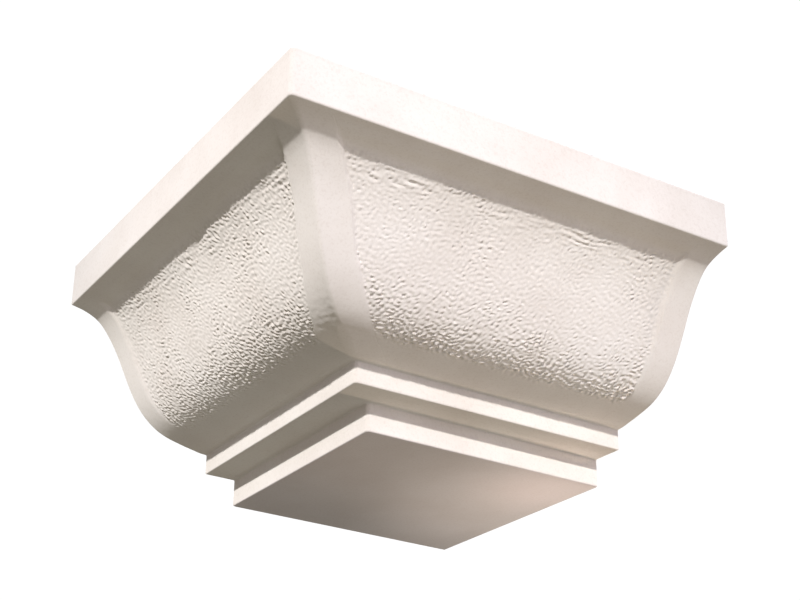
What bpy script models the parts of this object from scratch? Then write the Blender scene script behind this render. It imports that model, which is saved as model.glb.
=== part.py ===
"""A moulded cornice's outside corner, cast as one solid block.

From the underside up, the face has a riser, a fillet, a cyma recta and a fascia. The same profile
runs along both faces and is mitred on the outer corner, which points to -X and -Y. One run follows
+X and the other +Y, and both are cut square at their far ends. The block stands on its square
underside, and the origin is the middle of that square.
"""

import math

import bmesh
import bpy
from mathutils import Matrix, Vector
from mathutils.geometry import interpolate_bezier

# Driving dimensions, in metres
UNDERSIDE_SIDE = 0.344
PROJECTION = 0.256
RISER_HEIGHT = 0.036
FILLET_HEIGHT = 0.027
FILLET_PROJECTION = 0.044
CYMA_HEIGHT = 0.168
FASCIA_HEIGHT = 0.059

# The cyma is one Bezier curve: how far each end pulls it, and how steeply it meets the fascia
CYMA_FOOT_PULL = 0.154
CYMA_HEAD_PULL = 0.107
CYMA_HEAD_SLOPE = math.radians(8)
CYMA_POINTS = 29

# Each face has one shallow sunk field in its cyma, between plain bands at the mitre and the end
FIELD_DEPTH = 0.0035
MITRE_BAND = 0.047
END_BAND = 0.039
FIELD_FOOT_SHARE = 0.16
FIELD_HEAD_SHARE = 0.97
FIELD_FOOT_RUN = 0.35
FIELD_HEAD_RUN = 0.10

# Softened edges
MITRE_RADIUS = 0.006
ARRIS_RADIUS = 0.002
EDGE_SEGMENTS = 3

# How far a cutter or an uncut blank stands past what it is cut to
OVERRUN = 0.020
SEAM = 0.00001

HALF_SIDE = UNDERSIDE_SIDE / 2
FILLET_FOOT = RISER_HEIGHT
CYMA_FOOT = FILLET_FOOT + FILLET_HEIGHT
FASCIA_FOOT = CYMA_FOOT + CYMA_HEIGHT
TOP = FASCIA_FOOT + FASCIA_HEIGHT


def clear_scene():
    """Removes every object, so that the script gives the same result when it runs again."""
    for old in list(bpy.data.objects):
        bpy.data.objects.remove(old, do_unlink=True)


def new_collection(name):
    """A collection of that name under the scene's own."""
    made = bpy.data.collections.new(name)
    bpy.context.scene.collection.children.link(made)
    return made


def coat_material():
    """The off-white mineral coat that covers the whole block."""
    coat = bpy.data.materials.new("mineral_coat")
    coat.use_nodes = True
    shader = coat.node_tree.nodes["Principled BSDF"]
    shader.inputs["Base Color"].default_value = (0.80, 0.75, 0.70, 1.0)
    shader.inputs["Roughness"].default_value = 0.75
    shader.inputs["Metallic"].default_value = 0.0
    return coat


def cyma_points():
    """The cyma's points as (outward, up), from the fillet's top to the fascia's foot."""
    foot = Vector((FILLET_PROJECTION, CYMA_FOOT))
    head = Vector((PROJECTION, FASCIA_FOOT))
    foot_handle = foot + Vector((CYMA_FOOT_PULL, 0.0))
    head_pull = Vector((math.cos(CYMA_HEAD_SLOPE), math.sin(CYMA_HEAD_SLOPE))) * CYMA_HEAD_PULL
    return interpolate_bezier(foot, foot_handle, head - head_pull, head, CYMA_POINTS)


def profile_section():
    """The outline of a straight run, from the riser round the fascia and back behind the block."""
    back = -UNDERSIDE_SIDE - OVERRUN
    outline = [Vector((back, 0.0)), Vector((0.0, 0.0)), Vector((0.0, FILLET_FOOT))]
    outline.append(Vector((FILLET_PROJECTION, FILLET_FOOT)))
    outline += cyma_points()
    outline += [Vector((PROJECTION, TOP)), Vector((back, TOP))]
    return outline


def smooth_rise(share):
    """Rises smoothly from 0 to 1 as share goes from 0 to 1."""
    held = min(max(share, 0.0), 1.0)
    return held * held * (3.0 - 2.0 * held)


def field_section():
    """The outline of what is cut from the cyma: it starts from nothing at the foot and the head."""
    points = cyma_points()
    last = len(points) - 1
    first_sunk = math.ceil(FIELD_FOOT_SHARE * last)
    last_sunk = math.floor(FIELD_HEAD_SHARE * last)
    floor_line = []
    outer_line = []
    for index in range(first_sunk, last_sunk + 1):
        along = (points[index + 1] - points[index - 1]).normalized()
        outward = Vector((along.y, -along.x))
        rise = smooth_rise((index - first_sunk) / (FIELD_FOOT_RUN * last))
        fall = smooth_rise((last_sunk - index) / (FIELD_HEAD_RUN * last))
        floor_line.append(points[index] - outward * FIELD_DEPTH * rise * fall)
        outer_line.append(points[index] + outward * OVERRUN)
    return floor_line + outer_line[::-1]


def run_along_x(name, section, start, end, collection):
    """A closed solid with that section, on the face that looks to -Y, from x = start to x = end."""
    curve = bpy.data.curves.new(name, "CURVE")
    curve.dimensions = "2D"
    curve.fill_mode = "BOTH"
    curve.extrude = (end - start) / 2
    spline = curve.splines.new("POLY")
    spline.points.add(len(section) - 1)
    for knot, point in zip(spline.points, section):
        knot.co = (point.x, point.y, 0.0, 1.0)
    spline.use_cyclic_u = True
    drawn = bpy.data.objects.new(name + "_outline", curve)
    bpy.context.scene.collection.objects.link(drawn)
    # The section's outward direction becomes -Y, its up becomes +Z and its extrusion runs along X
    drawn.matrix_world = Matrix(
        (
            (0.0, 0.0, -1.0, (start + end) / 2),
            (-1.0, 0.0, 0.0, -HALF_SIDE),
            (0.0, 1.0, 0.0, 0.0),
            (0.0, 0.0, 0.0, 1.0),
        )
    )
    bpy.context.view_layer.update()
    mesh = bpy.data.meshes.new_from_object(drawn.evaluated_get(bpy.context.evaluated_depsgraph_get()))
    mesh.name = name
    mesh.transform(drawn.matrix_world)
    bpy.data.objects.remove(drawn)
    shape = bmesh.new()
    shape.from_mesh(mesh)
    bmesh.ops.remove_doubles(shape, verts=shape.verts, dist=SEAM)
    bmesh.ops.recalc_face_normals(shape, faces=shape.faces)
    shape.to_mesh(mesh)
    shape.free()
    made = bpy.data.objects.new(name, mesh)
    collection.objects.link(made)
    return made


def field_cutter(collection):
    """What sinks the field: its inner end is parallel to the mitre and its outer end is square."""
    start = -HALF_SIDE - PROJECTION - OVERRUN
    cutter = run_along_x("field_cutter", field_section(), start, HALF_SIDE - END_BAND, collection)
    shape = bmesh.new()
    shape.from_mesh(cutter.data)
    everything = shape.verts[:] + shape.edges[:] + shape.faces[:]
    cut = bmesh.ops.bisect_plane(
        shape,
        geom=everything,
        dist=SEAM,
        plane_co=(MITRE_BAND, 0.0, 0.0),
        plane_no=(1.0, -1.0, 0.0),
        clear_inner=True,
    )
    rim = [item for item in cut["geom_cut"] if isinstance(item, bmesh.types.BMEdge)]
    bmesh.ops.contextual_create(shape, geom=rim)
    bmesh.ops.recalc_face_normals(shape, faces=shape.faces)
    shape.to_mesh(cutter.data)
    shape.free()
    cutter.hide_render = True
    cutter.display_type = "WIRE"
    return cutter


def mitre_guide(collection):
    """An empty whose X axis is square to the mitre's upright plane."""
    guide = bpy.data.objects.new("mitre_guide", None)
    guide.rotation_euler = (0.0, 0.0, math.radians(-45))
    collection.objects.link(guide)
    return guide


def apply_modifiers(thing):
    """Makes the object's mesh what its modifiers give."""
    bpy.context.view_layer.update()
    mesh = bpy.data.meshes.new_from_object(thing.evaluated_get(bpy.context.evaluated_depsgraph_get()))
    old = thing.data
    thing.modifiers.clear()
    thing.data = mesh
    mesh.name = old.name
    bpy.data.meshes.remove(old)


def edge_softness(edge):
    """How much of the mitre's radius an edge gets: all of it on the mitre, less on the arrises."""
    low, high = (vert.co for vert in edge.verts)
    middle = (low + high) / 2
    if edge.calc_face_angle_signed(0.0) < math.radians(20):
        return 0.0
    on_mitre = abs(low.x - low.y) < SEAM and abs(high.x - high.y) < SEAM
    if on_mitre:
        return 1.0 if middle.z > CYMA_FOOT + SEAM else ARRIS_RADIUS / MITRE_RADIUS
    level = abs(low.z - high.z) < SEAM
    on_face = min(middle.x, middle.y) < -HALF_SIDE + SEAM
    arris_levels = (0.0, FILLET_FOOT, FASCIA_FOOT)
    if level and on_face and any(abs(middle.z - arris) < SEAM for arris in arris_levels):
        return ARRIS_RADIUS / MITRE_RADIUS
    return 0.0


def soften_edges(thing):
    """Rounds the mitre and the long arrises, and leaves the cut ends, the top and the back sharp."""
    shape = bmesh.new()
    shape.from_mesh(thing.data)
    weight = shape.edges.layers.float.new("bevel_weight_edge")
    for edge in shape.edges:
        edge[weight] = edge_softness(edge)
    shape.to_mesh(thing.data)
    shape.free()
    bevel = thing.modifiers.new("softened_edges", "BEVEL")
    bevel.limit_method = "WEIGHT"
    bevel.width = MITRE_RADIUS
    bevel.segments = EDGE_SEGMENTS


def cornice_corner(parts, cutters):
    """The whole block: one run with its field, mirrored across the mitre."""
    start = -HALF_SIDE - PROJECTION - OVERRUN
    corner = run_along_x("cornice_corner", profile_section(), start, HALF_SIDE, parts)
    sink = corner.modifiers.new("field", "BOOLEAN")
    sink.operation = "DIFFERENCE"
    sink.object = field_cutter(cutters)
    mirror = corner.modifiers.new("mitre", "MIRROR")
    mirror.mirror_object = mitre_guide(cutters)
    mirror.use_bisect_axis[0] = True
    mirror.bisect_threshold = SEAM
    mirror.merge_threshold = SEAM
    apply_modifiers(corner)
    soften_edges(corner)
    corner.data.materials.clear()
    corner.data.materials.append(coat_material())
    return corner


def main():
    clear_scene()
    parts = new_collection("cornice_outside_corner")
    cutters = new_collection("cutters")
    cornice_corner(parts, cutters)


main()
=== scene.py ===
"""The cornice corner's coat, with its crinkled fields, and the floor, light and camera round it."""

import math

import bpy
import numpy as np
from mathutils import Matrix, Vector


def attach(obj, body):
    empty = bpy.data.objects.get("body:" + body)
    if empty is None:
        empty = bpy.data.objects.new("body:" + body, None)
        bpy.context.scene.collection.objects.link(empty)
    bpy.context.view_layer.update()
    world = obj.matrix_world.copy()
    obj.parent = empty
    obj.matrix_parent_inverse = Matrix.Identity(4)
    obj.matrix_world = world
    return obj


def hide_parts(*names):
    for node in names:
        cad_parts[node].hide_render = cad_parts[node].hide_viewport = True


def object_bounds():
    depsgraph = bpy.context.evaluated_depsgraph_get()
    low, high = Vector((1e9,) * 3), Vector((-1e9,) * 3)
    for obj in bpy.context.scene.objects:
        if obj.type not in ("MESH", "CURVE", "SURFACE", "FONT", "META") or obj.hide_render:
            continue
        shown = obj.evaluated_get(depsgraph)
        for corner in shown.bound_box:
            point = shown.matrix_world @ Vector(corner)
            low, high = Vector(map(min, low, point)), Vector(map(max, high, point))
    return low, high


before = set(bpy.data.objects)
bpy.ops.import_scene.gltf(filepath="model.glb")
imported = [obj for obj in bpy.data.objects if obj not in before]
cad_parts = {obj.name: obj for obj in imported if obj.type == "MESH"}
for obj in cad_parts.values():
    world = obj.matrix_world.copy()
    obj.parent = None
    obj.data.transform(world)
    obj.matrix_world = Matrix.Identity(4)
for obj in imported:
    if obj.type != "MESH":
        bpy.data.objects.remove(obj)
CAD_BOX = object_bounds()

# The solid's own dimensions, in metres: the largest come from the box of model.glb's pieces
HALF_SIDE = CAD_BOX[1][0]
TOP = CAD_BOX[1][2]
PROJECTION = -CAD_BOX[0][0] - HALF_SIDE
FILLET_PROJECTION = 0.044
RISER_HEIGHT = 0.036
FILLET_HEIGHT = 0.027
FASCIA_HEIGHT = 0.059
FILLET_FOOT = RISER_HEIGHT
CYMA_FOOT = FILLET_FOOT + FILLET_HEIGHT
FASCIA_FOOT = TOP - FASCIA_HEIGHT
CYMA_FOOT_PULL = 0.154
CYMA_HEAD_PULL = 0.107
CYMA_HEAD_SLOPE = math.radians(8)
FIELD_DEPTH = 0.0035
MITRE_BAND = 0.047
END_BAND = 0.039

# Softened edges: the long arrises, the inner corners and the cut ends, whose roundness has
# columns at these shares of its width
ARRIS_RADIUS = 0.0022
CORNER_RADIUS = 0.0018
END_EDGE = 0.0012
END_EDGE_SHARES = (0.0, 0.06, 0.25, 0.6)

# How far the profile runs in under the block and over its top, before a flat face takes over
LEAD_IN = 0.004

# How round the mitre's ridge is on each member, and by the cyma's foot, where it is rounder
RISER_RIDGE = 0.0055
FILLET_RIDGE = 0.0050
FOOT_RIDGE = 0.0120
CYMA_RIDGE = 0.0045
FASCIA_RIDGE = 0.0055
FOOT_RIDGE_FROM = 0.028
FOOT_RIDGE_TO = 0.044
CYMA_RIDGE_FROM = 0.062
CYMA_RIDGE_BELOW_HEAD = 0.045
FASCIA_RIDGE_BELOW_HEAD = 0.004

# How closely the profile is drawn, and which of its stretches from the underside up is the cyma
STRAIGHT_POINTS = 40
CYMA_POINTS = 601
ARC_POINTS = 9
CYMA_STRETCH = 4

# How the mesh of the body is spaced: along the profile, and along a run from the mitre to the end
ARRIS_STEP = 0.0006
CYMA_STEP = 0.0015
PLAIN_STEP = 0.0030
MITRE_REACH = 0.066
END_REACH = 0.056
MITRE_COLUMNS = 38
MIDDLE_COLUMNS = 36
END_COLUMNS = 34
RIDGE_COLUMNS = 14

# The field: where it starts and ends along the cyma, and how softly it sinks
FIELD_FOOT_GAP = 0.010
FIELD_HEAD_GAP = 0.006
SINK_START = 0.060
SINK_END = 0.150
SINK_BELOW_HEAD = 0.016
SINK_HEAD_REACH = 0.023
SINK_SLOPE = 0.010
LAP = 0.003
LAP_DEPTH = 0.0012
FIELD_ROWS = 236
FIELD_COLUMNS = 404
FIELD_THICKNESS = 0.004

# The crinkle's pattern: its repeating sheet, the length and tilt of its waves, and how they bend
CRINKLE_CELL = 0.0006
CRINKLE_CELLS = 1024
CRINKLE_WAVE = 0.0052
CRINKLE_STRETCH = 1.7
CRINKLE_TILTS = (math.radians(32), math.radians(36))
CRINKLE_SPREAD = 0.36
CRINKLE_CREASE = 0.04
BEND_HEIGHT = 0.004
BEND_SIZE = 0.035

# The crinkle's height on each run, how it varies in depth and size, how much it gains low in the
# field, and where it fades at the foot and the head
CRINKLE_HEIGHTS = (0.00039, 0.00048)
CRINKLE_LEVEL = 0.8
WIDE_PATCHES = (0.35, 0.045)
SMALL_PATCHES = (0.3, 0.0065)
CRINKLE_LOW = (1.20, 0.28)
LOW_BELOW_HEAD = 0.135
LOW_REACH = 0.055
FADE_ABOVE_FOOT = 0.043
FADE_FOOT_REACH = 0.018
FADE_BELOW_HEAD = 0.034
FADE_HEAD_REACH = 0.012

# The long streaks near the head of the fields
STREAK_HEIGHT = 0.00034
STREAK_WAVE = 0.0060
STREAK_STRETCH = 8.0
STREAK_TILT = math.radians(2)
STREAK_BEND = 0.3
STREAKS_BELOW_HEAD = 0.054
STREAKS_REACH = 0.012
STREAK_PATCHES = (0.9, 0.060)

# Smooth noises, each with its height, its size and its seed
EDGE_WANDER = ((0.0016, 0.028, 11), (0.0008, 0.009, 12))
UNEVEN_CYMA = ((0.00030, 0.060, 21), (0.00010, 0.017, 22))
RAGGED = ((1.0, 0.016, 23), (0.5, 0.008, 24))
UNEVEN_FLATS = ((0.00014, 0.070, 31), (0.00005, 0.016, 32))

# Where the profile is a little flatter than the solid's: below the head, how wide, how deep
FLATTER = ((0.040, 0.018, 0.0016), (0.245, 0.030, 0.0024))

# Slight hollows in each run's upper field: along the run, how wide, how deep
HOLLOWS = (
    ((-0.150, 0.035, 0.0002), (0.075, 0.045, 0.0007), (-0.330, 0.030, 0.0003)),
    ((-0.115, 0.035, 0.0006), (0.050, 0.040, 0.0002), (-0.300, 0.045, 0.0006)),
)
HOLLOWS_BELOW_HEAD = 0.050
HOLLOWS_REACH = 0.022

# Over what distances a relief comes in: at the cyma's ends, across the mitre and beside the band
CYMA_EASE = 0.02
MITRE_BLEND = 0.010
BAND_BLEND = 0.012
FLAT_EASE = 0.006

# The ragged head of the fields: how deep on each run, and how it starts below the cyma's head
RAGGED_HEIGHTS = (0.00034, 0.00060)
RAGGED_BELOW_HEAD = 0.028
RAGGED_REACH = 0.010

# The rough patch by the mitre's foot: where it lies above the cyma's foot, and its dents, each
# with its share, its squash, its size and its seed
PATCH_HEIGHT = 0.00042
PATCH_ABOVE_FOOT = 0.071
PATCH_REACH = 0.020
PATCH_DENTS = ((1.0, (0.7, 0.7, 1.5), 0.0046, 41), (0.6, (0.6, 0.6, 1.2), 0.011, 42))

# The small ledge by the mitre's foot: where it rises, how far that wanders, and where it fades
LEDGE_HEIGHT = 0.00060
LEDGE_ABOVE_FOOT = 0.052
LEDGE_WANDER = (0.004, 0.020, 43)
LEDGE_RISE = 0.006
LEDGE_FADE_FROM = 0.064
LEDGE_FADE_REACH = 0.040

# The coat's colour: stops of its mottling and of its speckle, and the tint of the underside, which
# ends at these heights: partly painted shade, darker and slightly bluer on the face that looks down
MOTTLE = (
    (0.30, (0.765, 0.722, 0.680, 1.0)),
    (0.55, (0.810, 0.775, 0.738, 1.0)),
    (0.75, (0.830, 0.800, 0.768, 1.0)),
)
SPECKLE = (
    (0.30, (0.94, 0.93, 0.92, 1.0)),
    (0.50, (1.0, 1.0, 1.0, 1.0)),
    (1.0, (1.0, 1.0, 1.0, 1.0)),
)
UNDERSIDE_PAINTED_SHADE = (0.87, 0.85, 0.89, 1.0)
UNDERSIDE_SHADE_ENDS = (0.0003, 0.0012)

# The floor: half its side, and how far down it lies for the low camera
FLOOR_HALF = 14.0
FLOOR_LEVEL = -3.0

# The key light, with its angles in degrees
KEY_AZIMUTH = 43.4
KEY_ELEVATION = 13.25
KEY_STRENGTH = 1.18
KEY_COLOUR = (0.93, 1.0, 0.94)
KEY_SOFTNESS = 1.2

# The pool of light that makes the key stronger at the mitre: power, colour, target, radius,
# how far away its lamp is and how large
CENTRE_POWER = 1640.0
CENTRE_COLOUR = (1.0, 0.925, 0.93)
CENTRE_TARGET = (-0.28, -0.28, 0.18)
CENTRE_RADIUS = 0.65
CENTRE_DISTANCE = 8.0
CENTRE_LAMP_SIZE = 0.084

# The low fills: name, power, colour, place, target, and the radius of the pool about the target
LOW_LAMP_SIZE = 0.05
LOW_FILLS = (
    ("fill_right", 104.0, (1.0, 0.82, 0.65), (1.6, 0.0, -1.0), (0.2, -0.2, 0.0), 0.35),
    ("fill_behind", 200.0, (1.0, 0.91, 0.82), (0.10, 1.6, -1.1), (0.18, -0.16, 0.0), 0.28),
    ("fill_below", 44.0, (1.0, 0.77, 0.68), (0.16, -0.05, -1.8), (0.13, -0.13, 0.0), 0.11),
)

# Soft light: where it comes from, and its colour
SOFT_SIDES = (
    ((0.0, -1.0, 0.0), (0.80, 0.76, 0.55)),
    ((0.0, -1.0, 0.8), (0.0, 0.0, 0.48)),
    ((-1.0, 0.0, 0.0), (0.13, 0.11, 0.07)),
    ((0.0, 0.0, 1.0), (0.23, 0.20, 0.10)),
    ((1.0, 1.0, 1.2), (0.36, 0.36, 0.36)),
)

X_RUN = 0
Y_RUN = 1

# How many cells a smooth noise has each way before it repeats
NOISE_CELLS = 24


def smooth_rise(share):
    """Rises smoothly from 0 to 1 as share goes from 0 to 1."""
    held = np.clip(share, 0.0, 1.0)
    return held * held * (3.0 - 2.0 * held)


def soft_noise(points, size, seed):
    """Smooth noise between -1 and 1 at those points, with bumps about that size across."""
    cells = NOISE_CELLS
    lattice = np.random.default_rng(seed).uniform(-1.0, 1.0, (cells, cells, cells))
    place = np.asarray(points) / size
    corner = np.floor(place).astype(int)
    part = place - corner
    part = part**3 * (part * (part * 6.0 - 15.0) + 10.0)
    total = np.zeros(place.shape[:-1])
    for i in (0, 1):
        for j in (0, 1):
            for k in (0, 1):
                weight = np.ones(place.shape[:-1])
                for axis, step in enumerate((i, j, k)):
                    weight *= part[..., axis] if step else 1.0 - part[..., axis]
                cell = (corner + (i, j, k)) % cells
                total += weight * lattice[cell[..., 0], cell[..., 1], cell[..., 2]]
    return total


def layered_noise(points, layers):
    """The sum of smooth noises, each given by its height, its size and its seed."""
    return sum(height * soft_noise(points, size, seed) for height, size, seed in layers)


def hump(distance, reach):
    """A smooth hump, 1 at no distance and falling off over that reach."""
    return np.exp(-((distance / reach) ** 2))


def line_lengths(line):
    """The distance along a line of points, at each point."""
    steps = np.linalg.norm(np.diff(line, axis=0), axis=1)
    return np.concatenate([[0.0], np.cumsum(steps)])


def at_distance(line, lengths, places):
    """The points of a line at those distances along it."""
    return np.stack([np.interp(places, lengths, line[:, 0]), np.interp(places, lengths, line[:, 1])], axis=1)


def cyma_line():
    """The cyma as close points (outward, up), from the fillet's top to the fascia's foot."""
    foot = np.array((FILLET_PROJECTION, CYMA_FOOT))
    head = np.array((PROJECTION, FASCIA_FOOT))
    foot_handle = foot + (CYMA_FOOT_PULL, 0.0)
    slope = np.array((math.cos(CYMA_HEAD_SLOPE), math.sin(CYMA_HEAD_SLOPE)))
    head_handle = head - slope * CYMA_HEAD_PULL
    t = np.linspace(0.0, 1.0, CYMA_POINTS)[:, None]
    return (
        (1 - t) ** 3 * foot
        + 3 * (1 - t) ** 2 * t * foot_handle
        + 3 * (1 - t) * t**2 * head_handle
        + t**3 * head
    )


def straight(start, end):
    """A straight stretch of the profile as points (outward, up)."""
    return np.linspace(start, end, STRAIGHT_POINTS)


class Profile:
    """The rounded profile from the underside to the top, and where the cyma lies on it.

    Places on it are distances along it from the underside, and its corners are where two stretches
    meet.
    """

    def __init__(self):
        stretches = [
            straight((-LEAD_IN, 0.0), (0.0, 0.0)),
            straight((0.0, 0.0), (0.0, FILLET_FOOT)),
            straight((0.0, FILLET_FOOT), (FILLET_PROJECTION, FILLET_FOOT)),
            straight((FILLET_PROJECTION, FILLET_FOOT), (FILLET_PROJECTION, CYMA_FOOT)),
            cyma_line(),
            straight((PROJECTION, FASCIA_FOOT), (PROJECTION, TOP)),
            straight((PROJECTION, TOP), (PROJECTION - LEAD_IN, TOP)),
        ]
        lower_radii = [ARRIS_RADIUS, CORNER_RADIUS, ARRIS_RADIUS, CORNER_RADIUS]
        radii = [0.0, *lower_radii, ARRIS_RADIUS, ARRIS_RADIUS, 0.0]
        pieces = []
        self.corners = []
        starts = []
        length = 0.0
        bend = np.linspace(0.0, 1.0, ARC_POINTS)[1:-1, None]
        for index, stretch in enumerate(stretches):
            lengths = line_lengths(stretch)
            first = radii[index]
            last = lengths[-1] - radii[index + 1]
            inside = lengths[(lengths > first) & (lengths < last)]
            kept = at_distance(stretch, lengths, np.concatenate([[first], inside, [last]]))
            if pieces:
                before = pieces[-1][-1]
                corner = stretch[0]
                arc = (1 - bend) ** 2 * before + 2 * (1 - bend) * bend * corner + bend**2 * kept[0]
                pieces.append(arc)
                span = line_lengths(np.vstack([before, arc, kept[0]]))[-1]
                self.corners.append(length + span / 2)
                length += span
            starts.append(length)
            pieces.append(kept)
            length += line_lengths(kept)[-1]
        self.line = np.vstack(pieces)
        self.lengths = line_lengths(self.line)
        cyma_length = line_lengths(stretches[CYMA_STRETCH])[-1] - CORNER_RADIUS - ARRIS_RADIUS
        self.cyma_start = starts[CYMA_STRETCH]
        self.cyma_end = self.cyma_start + cyma_length

    def points(self, places):
        """The points (outward, up) at those places."""
        return at_distance(self.line, self.lengths, places)

    def normals(self, places):
        """Unit vectors (outward, up) that point out of the block."""
        reach = 0.0004
        ahead = self.points(np.minimum(places + reach, self.lengths[-1]))
        behind = self.points(np.maximum(places - reach, 0.0))
        along = ahead - behind
        along /= np.linalg.norm(along, axis=1)[:, None]
        return np.stack([along[:, 1], -along[:, 0]], axis=1)

    def rows(self):
        """Where the body's rows lie: close together on the arrises and in the cyma."""
        places = np.linspace(0.0, self.lengths[-1], 6000)
        step = np.full(places.shape, PLAIN_STEP)
        step[(places > self.cyma_start) & (places < self.cyma_end)] = CYMA_STEP
        for corner in self.corners:
            near = smooth_rise(np.abs(places - corner) / (4 * ARRIS_RADIUS))
            step = np.minimum(step, ARRIS_STEP + (PLAIN_STEP - ARRIS_STEP) * near)
        density = np.concatenate([[0.0], np.cumsum(1.0 / step[:-1]) * (places[1] - places[0])])
        count = int(round(density[-1]))
        return np.interp(np.linspace(0.0, density[-1], count + 1), density, places)

    def ridge_radius(self, places):
        """How round the mitre's ridge is, seen from above, at each row."""
        keys = [
            (0.0, RISER_RIDGE),
            (self.corners[1], RISER_RIDGE),
            (self.corners[2], FILLET_RIDGE),
            (self.cyma_start, FILLET_RIDGE),
            (self.cyma_start + FOOT_RIDGE_FROM, FOOT_RIDGE),
            (self.cyma_start + FOOT_RIDGE_TO, FOOT_RIDGE),
            (self.cyma_start + CYMA_RIDGE_FROM, CYMA_RIDGE),
            (self.cyma_end - CYMA_RIDGE_BELOW_HEAD, CYMA_RIDGE),
            (self.cyma_end - FASCIA_RIDGE_BELOW_HEAD, FASCIA_RIDGE),
            (self.lengths[-1], FASCIA_RIDGE),
        ]
        return np.interp(places, [key[0] for key in keys], [key[1] for key in keys])


PROFILE = Profile()


def inside_sides(points, from_mitre, from_end):
    """How far a point lies in from a field's uneven sides, in metres."""
    return np.minimum(from_mitre - MITRE_BAND, from_end - END_BAND) + layered_noise(points, EDGE_WANDER)


def inside_field(points, places, from_mitre, from_end):
    """How far a point lies inside a field's uneven outline, in metres."""
    above_foot = places - (PROFILE.cyma_start + FIELD_FOOT_GAP)
    below_head = PROFILE.cyma_end - FIELD_HEAD_GAP - places
    return np.minimum(inside_sides(points, from_mitre, from_end), np.minimum(above_foot, below_head))


def mitre_foot_relief(points, places, from_mitre):
    """A rough patch by the mitre's foot on the Y run, and a small ledge in the coat on the X run."""
    above = places - PROFILE.cyma_start
    on_y_run = smooth_rise((points[..., 1] - points[..., 0]) / MITRE_BLEND + 0.5)
    in_band = smooth_rise((MITRE_BAND - from_mitre) / BAND_BLEND)
    dents = sum(share * soft_noise(points * squash, size, seed) for share, squash, size, seed in PATCH_DENTS)
    rough = PATCH_HEIGHT * hump(above - PATCH_ABOVE_FOOT, PATCH_REACH) * dents
    foot = LEDGE_ABOVE_FOOT + layered_noise(points, [LEDGE_WANDER])
    ledge = LEDGE_HEIGHT * smooth_rise((above - foot) / LEDGE_RISE)
    ledge = ledge * (1.0 - smooth_rise((above - LEDGE_FADE_FROM) / LEDGE_FADE_REACH))
    return in_band * (on_y_run * rough + (1.0 - on_y_run) * ledge)


def head_hollows(points, below_head, in_field):
    """How deep the slight hollows and the ragged head are, in each run's upper field."""
    near_head = hump(below_head - HOLLOWS_BELOW_HEAD, HOLLOWS_REACH) * in_field
    ragged = layered_noise(points, RAGGED) * smooth_rise((below_head - RAGGED_BELOW_HEAD) / RAGGED_REACH)
    hollow = 0.0
    for run, along in ((X_RUN, points[..., 0]), (Y_RUN, points[..., 1])):
        own = (points[..., 0] < points[..., 1]) == (run == Y_RUN)
        for middle, width, depth in HOLLOWS[run]:
            hollow = hollow + own * near_head * depth * hump(along - middle, width)
        hollow = hollow + own * near_head * RAGGED_HEIGHTS[run] * ragged
    return hollow


def shared_relief(points, places, from_mitre, from_end):
    """The height that the body and the fields have in common: the sunk fields and the uneven hand."""
    above_foot = places - PROFILE.cyma_start
    below_head = PROFILE.cyma_end - places
    in_field = smooth_rise(inside_sides(points, from_mitre, from_end) / SINK_SLOPE + 0.5)
    sunk = smooth_rise((above_foot - SINK_START) / (SINK_END - SINK_START)) * in_field
    sunk = sunk * smooth_rise((below_head - SINK_BELOW_HEAD) / SINK_HEAD_REACH)
    in_cyma = smooth_rise(above_foot / CYMA_EASE) * smooth_rise(below_head / CYMA_EASE)
    flatter = sum(depth * hump(below_head - middle, width) for middle, width, depth in FLATTER)
    uneven = layered_noise(points, UNEVEN_CYMA) + mitre_foot_relief(points, places, from_mitre)
    return in_cyma * (uneven - flatter - head_hollows(points, below_head, in_field)) - FIELD_DEPTH * sunk


def plain_relief(points, places):
    """The slight unevenness of the flat faces, which never stands out past them."""
    from_ends = np.minimum(places, PROFILE.lengths[-1] - places)
    clear = smooth_rise((from_ends - LEAD_IN) / FLAT_EASE)
    deepest = sum(height for height, size, seed in UNEVEN_FLATS)
    return -clear * (deepest + layered_noise(points, UNEVEN_FLATS))


def crinkle_sheet(seed, wave, stretch, tilt):
    """A square sheet of crinkled relief, one unit rough, that repeats at its edges."""
    white = np.random.default_rng(seed).standard_normal((CRINKLE_CELLS, CRINKLE_CELLS))
    counts = np.fft.fftfreq(CRINKLE_CELLS, CRINKLE_CELL)
    along_run, up = np.meshgrid(counts, counts, indexing="ij")
    along = along_run * math.cos(tilt) + up * math.sin(tilt)
    across = up * math.cos(tilt) - along_run * math.sin(tilt)
    waves = np.hypot(along * stretch, across) * wave
    ring = np.exp(-(((waves - 1.0) / CRINKLE_SPREAD) ** 2) / 2)
    sheet = np.fft.ifft2(np.fft.fft2(white) * ring).real
    sheet /= sheet.std()
    return sheet - CRINKLE_CREASE * (sheet**2 - 1.0)


def read_sheet(sheet, along_run, up):
    """The sheet's height at those distances, between its cells."""
    place = np.stack([along_run, up], axis=-1) / CRINKLE_CELL
    cell = np.floor(place).astype(int)
    part = place - cell
    total = np.zeros(along_run.shape)
    for i in (0, 1):
        for j in (0, 1):
            weight = (part[..., 0] if i else 1 - part[..., 0]) * (part[..., 1] if j else 1 - part[..., 1])
            total += weight * sheet[(cell[..., 0] + i) % CRINKLE_CELLS, (cell[..., 1] + j) % CRINKLE_CELLS]
    return total


def on_run(run, along, outward, height):
    """Points or directions of one run: along it, out from its riser's plane line, and up."""
    if run == X_RUN:
        return np.stack([along, -outward, height], axis=-1)
    return np.stack([-outward, along, height], axis=-1)


def grid_faces(rows, columns):
    """The quads of a grid whose points are numbered row by row.

    They face whoever sees the rows run leftwards, one above the other.
    """
    low = (np.arange(rows - 1)[:, None] * columns + np.arange(columns - 1)[None, :]).ravel()
    return np.stack([low, low + columns, low + columns + 1, low + 1], axis=1).tolist()


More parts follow.
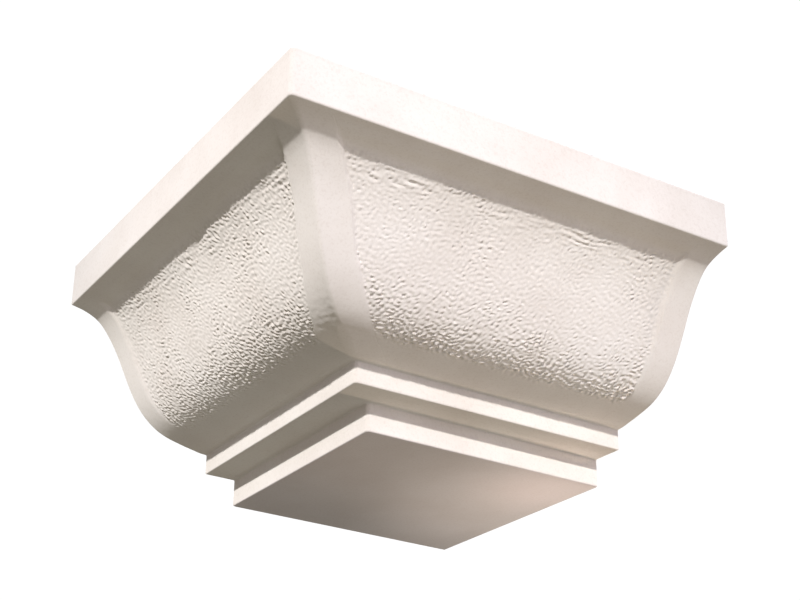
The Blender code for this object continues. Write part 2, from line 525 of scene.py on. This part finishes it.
def new_piece(name, points, faces, material):
    """A closed mesh piece with smooth shading, except at its true edges."""
    mesh = bpy.data.meshes.new(name)
    mesh.from_pydata(points.tolist(), [], faces)
    mesh.validate()
    mesh.shade_smooth()
    mesh.set_sharp_from_angle(angle=math.radians(40))
    for face in mesh.polygons:
        if face.loop_total > 4:
            face.use_smooth = False
    mesh.materials.append(material)
    piece = bpy.data.objects.new(name, mesh)
    bpy.context.scene.collection.objects.link(piece)
    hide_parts("cornice_corner")
    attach(piece, "root")
    return piece


def run_columns(reach, radius):
    """Where the columns of one run lie at a row, from the cut end to the ridge's roundness."""
    end_edge = END_EDGE * np.array(END_EDGE_SHARES)
    end_band = np.linspace(END_EDGE, END_REACH, END_COLUMNS)
    from_end = HALF_SIDE - np.concatenate([end_edge, end_band])
    mitre_end = -reach + MITRE_REACH
    middle = np.linspace(HALF_SIDE - END_REACH, mitre_end, MIDDLE_COLUMNS)[1:]
    mitre_band = np.linspace(mitre_end, -reach + radius, MITRE_COLUMNS)[1:]
    return np.concatenate([from_end, middle, mitre_band])


def body_grid():
    """The body's grid of rows up the profile and columns from one cut end round to the other.

    For each point it gives where it lies before any relief, its way out of the block, its distance
    from the mitre and from its run's cut end, and its place on the profile.
    """
    places = PROFILE.rows()
    points = PROFILE.points(places)
    normals = PROFILE.normals(places)
    radii = PROFILE.ridge_radius(places)
    turn = np.linspace(0.0, math.pi / 2, RIDGE_COLUMNS + 2)[1:-1]
    rows = []
    for place, point, normal, radius in zip(places, points, normals, radii):
        reach = HALF_SIDE + point[0]
        along = run_columns(reach, radius)
        flat = np.ones(along.shape)
        x_run = on_run(X_RUN, along, flat * reach, flat * point[1])
        x_out = on_run(X_RUN, flat * 0.0, flat * normal[0], flat * normal[1])
        y_run = on_run(Y_RUN, along, flat * reach, flat * point[1])[::-1]
        y_out = on_run(Y_RUN, flat * 0.0, flat * normal[0], flat * normal[1])[::-1]
        round_way = np.stack([-np.sin(turn), -np.cos(turn)], axis=1)
        middle = radius - reach
        level = np.full((len(turn), 1), point[1])
        ridge = np.hstack([middle + radius * round_way, level])
        ridge_out = np.hstack([round_way * normal[0], np.full((len(turn), 1), normal[1])])
        base = np.vstack([x_run, ridge, y_run])
        out = np.vstack([x_out, ridge_out, y_out])
        from_mitre = np.concatenate([along + reach, np.zeros(len(turn)), (along + reach)[::-1]])
        from_end = np.concatenate([HALF_SIDE - along, np.full(len(turn), 1.0), (HALF_SIDE - along)[::-1]])
        rows.append((base, out, from_mitre, from_end, np.full(len(base), place)))
    return [np.stack(column) for column in zip(*rows)]


def body_faces(count, width):
    """The body's quads, and the underside, the top and the two cut ends that close it."""
    corner = count * width
    under = [*range(width), corner]
    over = [*range(corner - width, corner)[::-1], corner + 1]
    x_end = [corner + 1, *range(0, corner, width)[::-1], corner]
    y_end = [corner, *range(width - 1, corner, width), corner + 1]
    return grid_faces(count, width) + [under, over, x_end, y_end]


def body_piece(material):
    """The whole block, its surface drawn in a little where the crinkled fields cover it."""
    base, out, from_mitre, from_end, place = body_grid()
    in_cyma = (place > PROFILE.cyma_start) & (place < PROFILE.cyma_end)
    height = np.where(in_cyma, shared_relief(base, place, from_mitre, from_end), 0.0)
    height += plain_relief(base, place)
    covered = inside_field(base, place, from_mitre, from_end)
    height -= LAP_DEPTH * smooth_rise(covered / LAP)
    edge = np.clip(1.0 - from_end / END_EDGE, 0.0, 1.0)
    flat_rows = smooth_rise(np.minimum(place, PROFILE.lengths[-1] - place) / LEAD_IN)
    height -= END_EDGE * flat_rows * (1.0 - np.sqrt(1.0 - edge**2))
    shaped = base + out * height[..., None]
    back = [(HALF_SIDE, HALF_SIDE, 0.0), (HALF_SIDE, HALF_SIDE, TOP)]
    points = np.vstack([shaped.reshape(-1, 3), back])
    return new_piece("cornice_corner_body", points, body_faces(*place.shape), material)


def crinkle_height(run, seed, points, along, place):
    """How far the crinkle and its streaks stand up, before they fade at the field's edges."""
    sheet = crinkle_sheet(seed, CRINKLE_WAVE, CRINKLE_STRETCH, CRINKLE_TILTS[run])
    streaks = crinkle_sheet(seed + 9, STREAK_WAVE, STREAK_STRETCH, STREAK_TILT)
    bend_along = BEND_HEIGHT * soft_noise(points, BEND_SIZE, seed + 1)
    bend_up = BEND_HEIGHT * soft_noise(points, BEND_SIZE, seed + 2)
    crinkle = read_sheet(sheet, along + bend_along, place + bend_up)
    below_head = PROFILE.cyma_end - place
    wide_depth, wide_size = WIDE_PATCHES
    small_depth, small_size = SMALL_PATCHES
    patchy = CRINKLE_LEVEL + wide_depth * soft_noise(points, wide_size, seed + 3)
    patchy = patchy * (1.0 + small_depth * soft_noise(points, small_size, seed + 5))
    patchy = patchy * (1.0 + CRINKLE_LOW[run] * smooth_rise((below_head - LOW_BELOW_HEAD) / LOW_REACH))
    streak_depth, streak_size = STREAK_PATCHES
    streaked = hump(below_head - STREAKS_BELOW_HEAD, STREAKS_REACH)
    streaked = streaked * (1.0 + streak_depth * soft_noise(points, streak_size, seed + 4))
    streak = STREAK_HEIGHT * streaked * read_sheet(streaks, along, place + STREAK_BEND * bend_up)
    faded = smooth_rise((place - PROFILE.cyma_start - FADE_ABOVE_FOOT) / FADE_FOOT_REACH)
    faded = faded * smooth_rise((below_head - FADE_BELOW_HEAD) / FADE_HEAD_REACH)
    return (CRINKLE_HEIGHTS[run] * crinkle * patchy + streak) * faded


def shell_faces(run):
    """The faces of a field's shell: its crinkled front, and what closes it behind.

    The rows run leftwards on the Y run and rightwards on the X run, whose faces are turned over.
    """
    front = grid_faces(FIELD_ROWS, FIELD_COLUMNS)
    near = FIELD_ROWS * FIELD_COLUMNS + 2 * np.arange(FIELD_ROWS)
    far = near + 1
    left = np.arange(FIELD_ROWS) * FIELD_COLUMNS
    right = left + FIELD_COLUMNS - 1
    closing = []
    for row in range(FIELD_ROWS - 1):
        closing.append([far[row], far[row + 1], near[row + 1], near[row]])
        closing.append([near[row], near[row + 1], left[row + 1], left[row]])
        closing.append([right[row], right[row + 1], far[row + 1], far[row]])
    closing.append([near[0], *range(left[0], right[0] + 1), far[0]])
    closing.append([far[-1], *range(right[-1], left[-1] - 1, -1), near[-1]])
    faces = front + [[int(index) for index in face] for face in closing]
    return [face[::-1] for face in faces] if run == X_RUN else faces


def field_piece(name, run, seed, material):
    """One crinkled field: a thin closed shell whose rim dips below the body's surface."""
    first = PROFILE.cyma_start + FIELD_FOOT_GAP - 1.5 * LAP
    last = PROFILE.cyma_end - FIELD_HEAD_GAP + 1.5 * LAP
    places = np.linspace(first, last, FIELD_ROWS)
    points = PROFILE.points(places)
    normals = PROFILE.normals(places)
    reach = HALF_SIDE + points[:, 0]
    share = np.linspace(0.0, 1.0, FIELD_COLUMNS)[None, :]
    start = (MITRE_BAND - 2 * LAP - reach)[:, None]
    end = HALF_SIDE - END_BAND + 2 * LAP
    along = start + (end - start) * share
    place = np.repeat(places[:, None], FIELD_COLUMNS, axis=1)
    wide = np.ones(along.shape)
    base = on_run(run, along, reach[:, None] * wide, points[:, 1:] * wide)
    out = on_run(run, 0.0 * wide, normals[:, :1] * wide, normals[:, 1:] * wide)
    from_mitre = along + reach[:, None]
    from_end = HALF_SIDE - along
    depth_in = inside_field(base, place, from_mitre, from_end)
    height = shared_relief(base, place, from_mitre, from_end) + plain_relief(base, place)
    height -= LAP_DEPTH * smooth_rise(-depth_in / LAP)
    height += crinkle_height(run, seed, base, along, place) * smooth_rise(depth_in / LAP)
    front = base + out * height[..., None]
    behind = base[:, [0, -1]] - out[:, [0, -1]] * (FIELD_DEPTH + FIELD_THICKNESS)
    points = np.vstack([front.reshape(-1, 3), behind.reshape(-1, 3)])
    return new_piece(name, points, shell_faces(run), material)


def coat_material():
    """An off-white mineral coat: faint mottling, a darker underside that is partly painted shade, a fine
    grain and a dull surface.
    """
    coat = bpy.data.materials.new("mineral_coat")
    coat.use_nodes = True
    nodes = coat.node_tree.nodes
    links = coat.node_tree.links
    shader = nodes["Principled BSDF"]
    place = nodes.new("ShaderNodeTexCoord")

    def noise(scale, detail, rough):
        made = nodes.new("ShaderNodeTexNoise")
        made.inputs["Scale"].default_value = scale
        made.inputs["Detail"].default_value = detail
        made.inputs["Roughness"].default_value = rough
        links.new(place.outputs["Object"], made.inputs["Vector"])
        return made

    def ramp(source, stops):
        made = nodes.new("ShaderNodeValToRGB")
        band = made.color_ramp
        band.elements[0].position, band.elements[0].color = stops[0]
        band.elements[1].position, band.elements[1].color = stops[-1]
        for position, colour in stops[1:-1]:
            band.elements.new(position).color = colour
        links.new(source, made.inputs["Fac"])
        return made

    mottle = ramp(noise(scale=9.0, detail=4.0, rough=0.55).outputs["Fac"], MOTTLE)
    speckle = ramp(noise(scale=340.0, detail=3.0, rough=0.6).outputs["Fac"], SPECKLE)
    mix = nodes.new("ShaderNodeMix")
    mix.data_type = "RGBA"
    mix.blend_type = "MULTIPLY"
    mix.inputs["Factor"].default_value = 1.0
    links.new(mottle.outputs["Color"], mix.inputs["A"])
    links.new(speckle.outputs["Color"], mix.inputs["B"])

    # The underside's tint: partly painted shade, darkening the face that looks down
    height = nodes.new("ShaderNodeSeparateXYZ")
    links.new(place.outputs["Object"], height.inputs["Vector"])
    under = nodes.new("ShaderNodeMapRange")
    under.inputs["From Min"].default_value = UNDERSIDE_SHADE_ENDS[0]
    under.inputs["From Max"].default_value = UNDERSIDE_SHADE_ENDS[1]
    under.inputs["To Min"].default_value = 1.0
    under.inputs["To Max"].default_value = 0.0
    links.new(height.outputs["Z"], under.inputs["Value"])
    underside = nodes.new("ShaderNodeMix")
    underside.data_type = "RGBA"
    underside.blend_type = "MULTIPLY"
    underside.inputs["B"].default_value = UNDERSIDE_PAINTED_SHADE
    links.new(under.outputs["Result"], underside.inputs["Factor"])
    links.new(mix.outputs["Result"], underside.inputs["A"])
    links.new(underside.outputs["Result"], shader.inputs["Base Color"])

    rough = nodes.new("ShaderNodeMapRange")
    rough.inputs["From Min"].default_value = 0.3
    rough.inputs["From Max"].default_value = 0.7
    rough.inputs["To Min"].default_value = 0.80
    rough.inputs["To Max"].default_value = 0.94
    links.new(noise(scale=60.0, detail=5.0, rough=0.6).outputs["Fac"], rough.inputs["Value"])
    links.new(rough.outputs["Result"], shader.inputs["Roughness"])
    shader.inputs["Specular IOR Level"].default_value = 0.2
    shader.inputs["Diffuse Roughness"].default_value = 1.0

    grain = nodes.new("ShaderNodeBump")
    grain.inputs["Strength"].default_value = 0.25
    grain.inputs["Distance"].default_value = 0.0003
    links.new(noise(scale=700.0, detail=3.0, rough=0.6).outputs["Fac"], grain.inputs["Height"])
    uneven = nodes.new("ShaderNodeBump")
    uneven.inputs["Strength"].default_value = 0.3
    uneven.inputs["Distance"].default_value = 0.0010
    links.new(noise(scale=120.0, detail=3.0, rough=0.5).outputs["Fac"], uneven.inputs["Height"])
    links.new(grain.outputs["Normal"], uneven.inputs["Normal"])
    links.new(uneven.outputs["Normal"], shader.inputs["Normal"])
    return coat


def floor():
    """A plain pale floor, far enough below for the low camera."""
    signs = ((-1, -1), (1, -1), (1, 1), (-1, 1))
    corners = [(FLOOR_HALF * x, FLOOR_HALF * y, FLOOR_LEVEL) for x, y in signs]
    mesh = bpy.data.meshes.new("floor")
    mesh.from_pydata(corners, [], [(0, 1, 2, 3)])
    made = bpy.data.objects.new("floor", mesh)
    bpy.context.scene.collection.objects.link(made)
    pale = bpy.data.materials.new("floor")
    pale.use_nodes = True
    shader = pale.node_tree.nodes["Principled BSDF"]
    shader.inputs["Base Color"].default_value = (0.9, 0.9, 0.9, 1.0)
    shader.inputs["Roughness"].default_value = 0.9
    shader.inputs["Emission Color"].default_value = (1.0, 1.0, 1.0, 1.0)
    shader.inputs["Emission Strength"].default_value = 0.9
    mesh.materials.append(pale)
    made.visible_diffuse = False
    made.visible_glossy = False


def aimed(thing, place, target):
    """Puts a lamp at a place, facing a target."""
    thing.location = place
    thing.rotation_euler = (Vector(target) - Vector(place)).to_track_quat("-Z", "Y").to_euler()


def lamp(name, kind, energy, colour, place, target):
    """A lamp that lights the object but isn't seen itself."""
    data = bpy.data.lights.new(name, kind)
    data.energy = energy
    data.color = colour
    made = bpy.data.objects.new(name, data)
    made.visible_camera = False
    bpy.context.scene.collection.objects.link(made)
    aimed(made, place, target)
    return data


def pool(name, energy, colour, place, target, radius):
    """A soft round pool of light of that radius about a target."""
    spot = lamp(name, "SPOT", energy, colour, place, target)
    reach = (Vector(target) - Vector(place)).length
    spot.spot_size = 2 * math.atan(radius / reach)
    spot.spot_blend = 1.0
    return spot


def key_light():
    """A low, slightly soft key light towards the outer corner, a little stronger at the mitre."""
    azimuth = math.radians(KEY_AZIMUTH)
    elevation = math.radians(KEY_ELEVATION)
    level = math.cos(elevation)
    way = Vector((-math.sin(azimuth) * level, -math.cos(azimuth) * level, math.sin(elevation)))
    key = lamp("key", "SUN", KEY_STRENGTH, KEY_COLOUR, way, (0.0, 0.0, 0.0))
    key.angle = math.radians(KEY_SOFTNESS)
    place = Vector(CENTRE_TARGET) + way * CENTRE_DISTANCE
    centre = pool("key_centre", CENTRE_POWER, CENTRE_COLOUR, place, CENTRE_TARGET, CENTRE_RADIUS)
    centre.shadow_soft_size = CENTRE_LAMP_SIZE


def low_fills():
    """Warm light that rises to the underside from the right, from behind and from below."""
    for fill in LOW_FILLS:
        pool(*fill).shadow_soft_size = LOW_LAMP_SIZE


def surrounding_light():
    """Soft light from broad sides, and white all round for the camera."""
    world = bpy.data.worlds.new("studio")
    bpy.context.scene.world = world
    world.use_nodes = True
    nodes = world.node_tree.nodes
    links = world.node_tree.links
    nodes.clear()
    toward = nodes.new("ShaderNodeTexCoord")
    total = None
    for side, colour in SOFT_SIDES:
        facing = nodes.new("ShaderNodeVectorMath")
        facing.operation = "DOT_PRODUCT"
        facing.inputs[1].default_value = Vector(side).normalized()
        links.new(toward.outputs["Generated"], facing.inputs[0])
        held = nodes.new("ShaderNodeMath")
        held.operation = "MAXIMUM"
        held.inputs[1].default_value = 0.0
        links.new(facing.outputs["Value"], held.inputs[0])
        tinted = nodes.new("ShaderNodeVectorMath")
        tinted.operation = "SCALE"
        tinted.inputs[0].default_value = colour
        links.new(held.outputs[0], tinted.inputs["Scale"])
        if total is None:
            total = tinted
            continue
        added = nodes.new("ShaderNodeVectorMath")
        added.operation = "ADD"
        links.new(total.outputs[0], added.inputs[0])
        links.new(tinted.outputs[0], added.inputs[1])
        total = added
    given = nodes.new("ShaderNodeBackground")
    links.new(total.outputs[0], given.inputs["Color"])
    seen = nodes.new("ShaderNodeBackground")
    seen.inputs["Color"].default_value = (1.0, 1.0, 1.0, 1.0)
    seen.inputs["Strength"].default_value = 1.05
    path = nodes.new("ShaderNodeLightPath")
    choice = nodes.new("ShaderNodeMixShader")
    made = nodes.new("ShaderNodeOutputWorld")
    links.new(path.outputs["Is Camera Ray"], choice.inputs[0])
    links.new(given.outputs[0], choice.inputs[1])
    links.new(seen.outputs[0], choice.inputs[2])
    links.new(choice.outputs[0], made.inputs["Surface"])


def lights():
    """A low key light, low fills, and soft light from all sides."""
    key_light()
    low_fills()
    surrounding_light()


def camera():
    """The camera low below the corner, looking up at it."""
    data = bpy.data.cameras.new("camera")
    data.sensor_width = 36.0
    data.lens = 68.921
    data.shift_x = 0.0925
    data.shift_y = 0.0725
    data.clip_start = 0.05
    data.clip_end = 60.0
    made = bpy.data.objects.new("camera", data)
    made.location = (-1.03842, -1.60016, -0.64118)
    made.rotation_euler = [math.radians(turn) for turn in (113.6881, -1.8103, -30.2994)]
    bpy.context.scene.collection.objects.link(made)
    bpy.context.scene.camera = made


bpy.context.scene.view_settings.view_transform = "Standard"
COAT = coat_material()
body_piece(COAT)
field_piece("cornice_field_x", X_RUN, seed=101, material=COAT)
field_piece("cornice_field_y", Y_RUN, seed=202, material=COAT)
floor()
lights()
camera()
